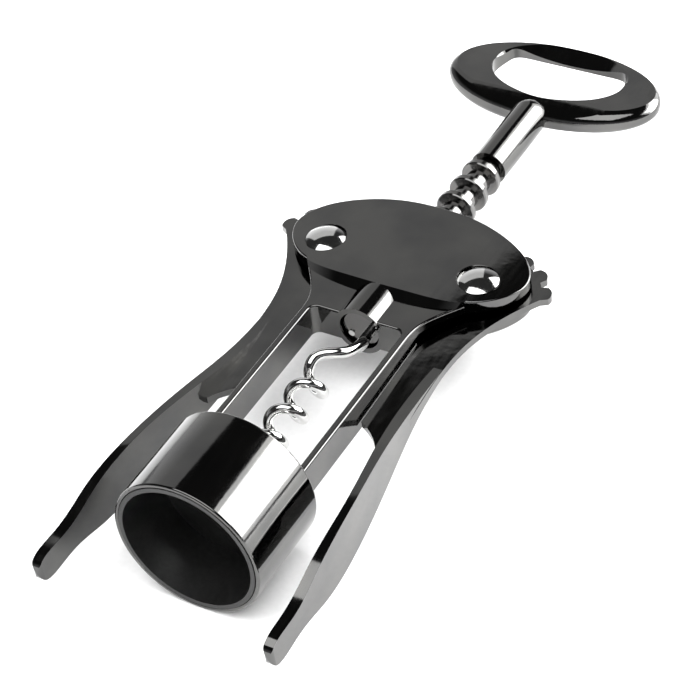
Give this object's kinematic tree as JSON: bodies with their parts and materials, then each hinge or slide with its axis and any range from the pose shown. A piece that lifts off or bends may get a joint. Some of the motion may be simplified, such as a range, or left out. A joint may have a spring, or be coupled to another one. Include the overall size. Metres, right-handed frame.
{
  "type": "lever corkscrew",
  "caption": "Wing corkscrew with geared side levers, a round rack, a wire worm, a lined bell and an oval cap-lifter handle.",
  "frame": {"origin": "centre of the bell's mouth, on the tool axis", "axes": "+Y along the tool axis from the bell to the handle, +Z out of the front face, +X across"},
  "size_m": [0.0682, 0.1987, 0.034],
  "materials": {
    "gunmetal": "black-nickel plated, polished",
    "liner_plastic": "satin moulded",
    "polished_steel": "polished",
    "rack_nickel": "turned and plated"
  },
  "bodies": {
    "frame": {"frame_front": "gunmetal", "frame_rear": "gunmetal", "bell_shell": "gunmetal", "bell_liner": "liner_plastic", "left_rivet": "polished_steel", "right_rivet": "polished_steel"},
    "rack": {"rack_sleeve": "rack_nickel"},
    "screw": {"spindle": "rack_nickel", "worm": "polished_steel", "worm_pin": "polished_steel", "handle": "gunmetal"},
    "left_lever": {"left_lever": "gunmetal"},
    "right_lever": {"right_lever": "gunmetal"}
  },
  "joints": [
    {"name": "rack_slide", "type": "slide", "parent": "frame", "child": "rack", "axis": [0, -1, 0], "range_m": [0, 0.035]},
    {"name": "handle_spin", "type": "hinge", "parent": "rack", "child": "screw", "pos_m": [0, 0.1, 0], "axis": [0, -1, 0], "continuous": true},
    {"name": "left_lever_turn", "type": "hinge", "parent": "frame", "child": "left_lever", "pos_m": [-0.01925, 0.0914, 0], "axis": [0, 0.0419, -0.9991], "range_deg": [0, 132]},
    {"name": "right_lever_turn", "type": "hinge", "parent": "frame", "child": "right_lever", "pos_m": [0.01925, 0.0914, 0], "axis": [0, -0.0419, 0.9991], "range_deg": [0, 132]}
  ],
  "couplings": [
    {"joint": "left_lever_turn", "follows": "rack_slide", "rad_per_m": 65.789},
    {"joint": "right_lever_turn", "follows": "rack_slide", "rad_per_m": 65.789}
  ]
}
